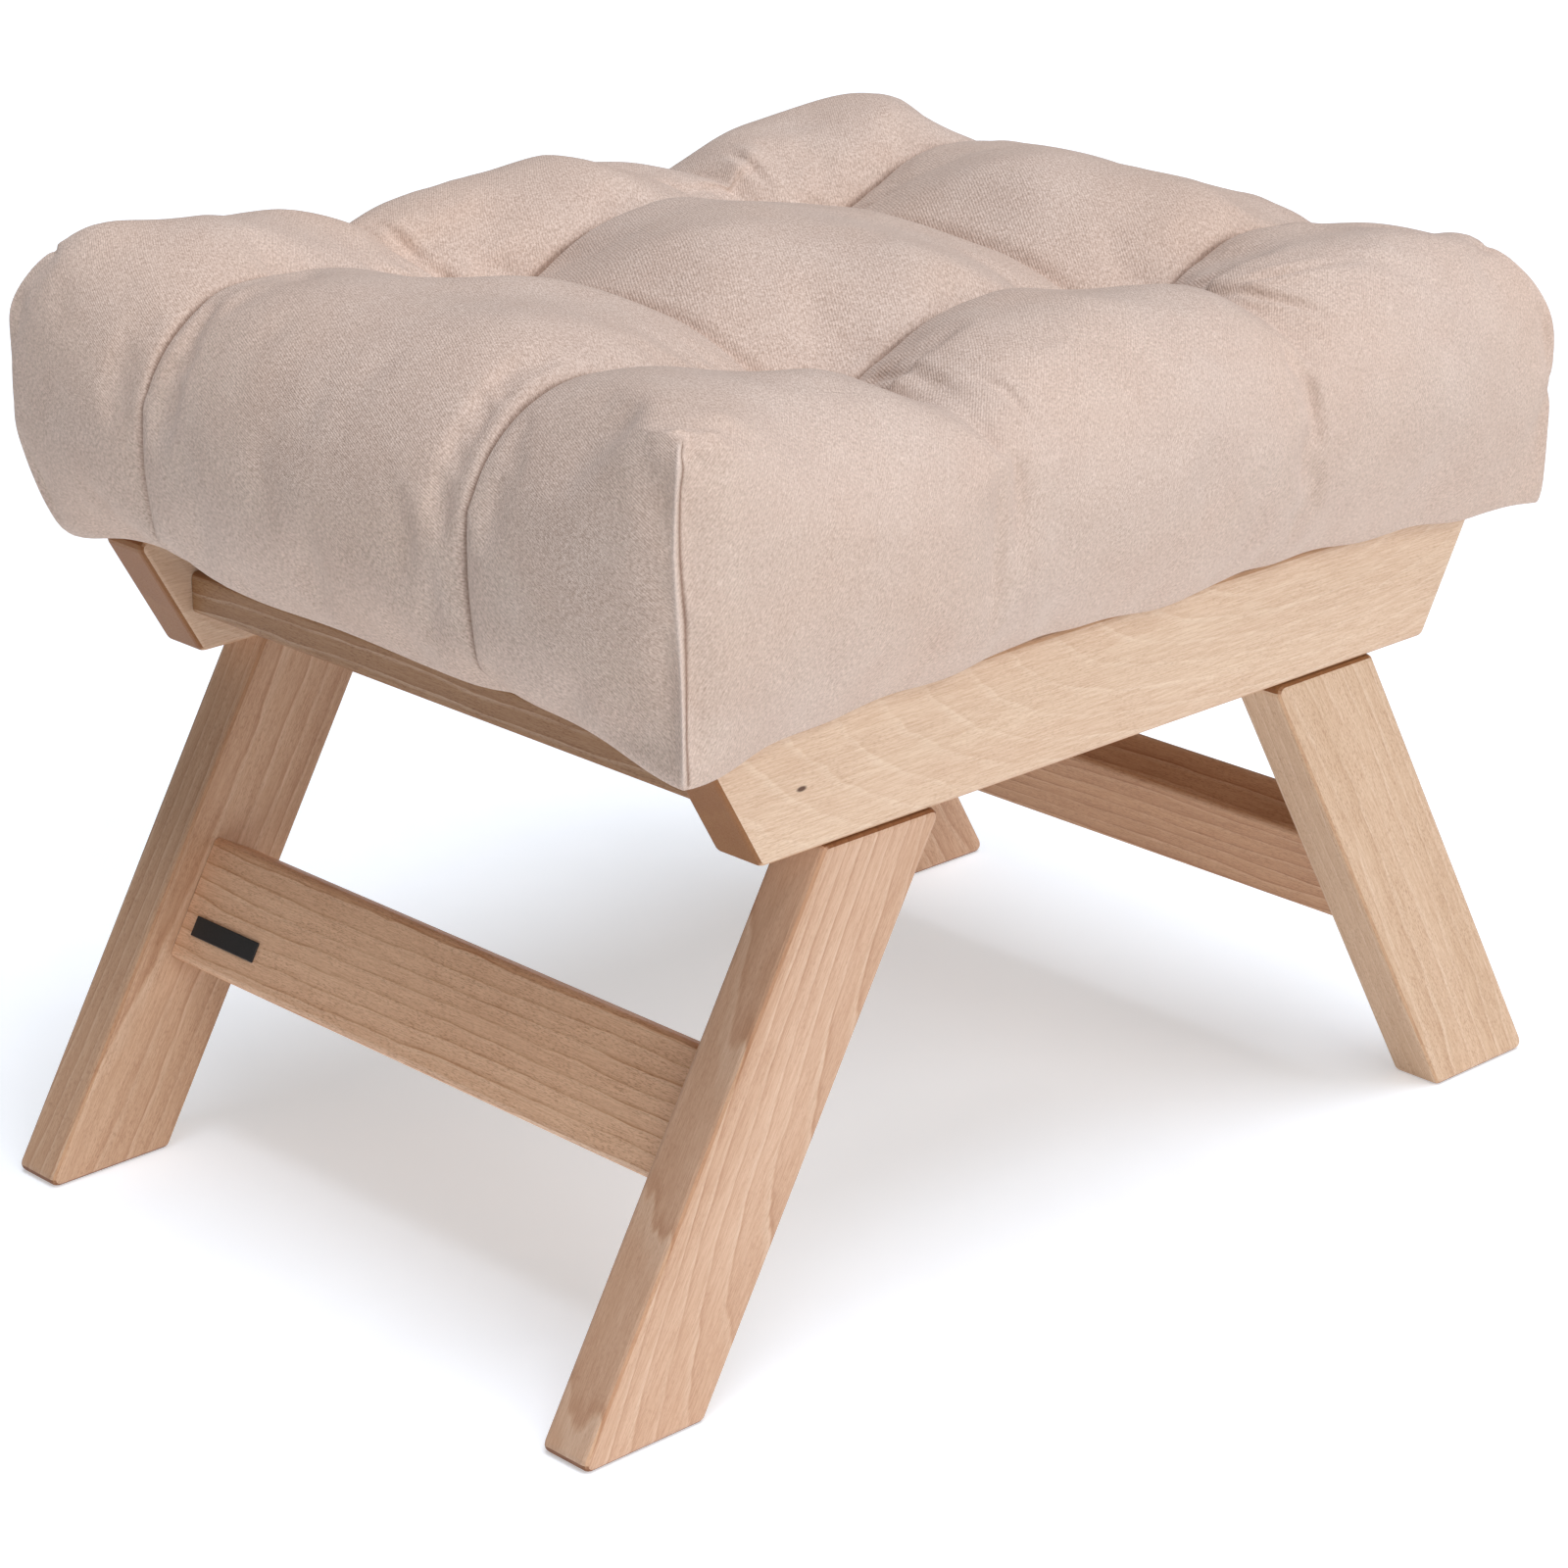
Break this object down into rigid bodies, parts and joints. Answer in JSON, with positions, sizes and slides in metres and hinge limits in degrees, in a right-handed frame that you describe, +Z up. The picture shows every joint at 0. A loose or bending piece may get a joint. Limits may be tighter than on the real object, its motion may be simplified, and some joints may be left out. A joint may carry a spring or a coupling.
{
  "type": "footstool",
  "caption": "Beech footstool on four splayed legs with two stretchers, a slatted seat and a loose beige cushion tufted at four points.",
  "frame": {"origin": "on the floor, under the middle of the seat", "axes": "+Z up, +Y along the side rails towards the back pair of legs, +X across the seat"},
  "size_m": [0.4594, 0.6246, 0.4465],
  "materials": {
    "beech": "oiled satin",
    "dowel_wood": "raw",
    "zinc_steel": "zinc plated",
    "brass": "machined",
    "velour": "brushed weave",
    "fibre_filling": "matte",
    "tie_thread": "twisted"
  },
  "bodies": {
    "frame": {"side_rail_left": "beech", "side_rail_right": "beech", "seat_slat_1": "beech", "seat_slat_2": "beech", "seat_slat_3": "beech", "seat_slat_4": "beech", "slat_1_dowel_left_1": "dowel_wood", "slat_1_dowel_left_2": "dowel_wood", "slat_1_dowel_right_1": "dowel_wood", "slat_1_dowel_right_2": "dowel_wood", "slat_2_dowel_left_1": "dowel_wood", "slat_2_dowel_left_2": "dowel_wood", "slat_2_dowel_right_1": "dowel_wood", "slat_2_dowel_right_2": "dowel_wood", "slat_3_dowel_left_1": "dowel_wood", "slat_3_dowel_left_2": "dowel_wood", "slat_3_dowel_right_1": "dowel_wood", "slat_3_dowel_right_2": "dowel_wood", "slat_4_dowel_left_1": "dowel_wood", "slat_4_dowel_left_2": "dowel_wood", "slat_4_dowel_right_1": "dowel_wood", "slat_4_dowel_right_2": "dowel_wood", "stretcher_front": "beech", "leg_front_left": "beech", "leg_dowel_front_left": "dowel_wood", "leg_insert_front_left": "brass", "bolt_washer_front_left": "zinc_steel", "leg_bolt_front_left": "zinc_steel", "stretcher_dowel_front_left_1": "dowel_wood", "stretcher_dowel_front_left_2": "dowel_wood", "leg_front_right": "beech", "leg_dowel_front_right": "dowel_wood", "leg_insert_front_right": "brass", "bolt_washer_front_right": "zinc_steel", "leg_bolt_front_right": "zinc_steel", "stretcher_dowel_front_right_1": "dowel_wood", "stretcher_dowel_front_right_2": "dowel_wood", "stretcher_back": "beech", "leg_back_left": "beech", "leg_dowel_back_left": "dowel_wood", "leg_insert_back_left": "brass", "bolt_washer_back_left": "zinc_steel", "leg_bolt_back_left": "zinc_steel", "stretcher_dowel_back_left_1": "dowel_wood", "stretcher_dowel_back_left_2": "dowel_wood", "leg_back_right": "beech", "leg_dowel_back_right": "dowel_wood", "leg_insert_back_right": "brass", "bolt_washer_back_right": "zinc_steel", "leg_bolt_back_right": "zinc_steel", "stretcher_dowel_back_right_1": "dowel_wood", "stretcher_dowel_back_right_2": "dowel_wood"},
    "cushion": {"cushion_cover": "velour", "cushion_filling": "fibre_filling", "tuft_tie_front_left": "tie_thread", "tuft_tie_front_right": "tie_thread", "tuft_tie_back_left": "tie_thread", "tuft_tie_back_right": "tie_thread"}
  },
  "joints": [
    {"name": "cushion_lift", "type": "slide", "parent": "frame", "child": "cushion", "axis": [0, 0, 1], "range_m": [0, 0.12]}
  ]
}
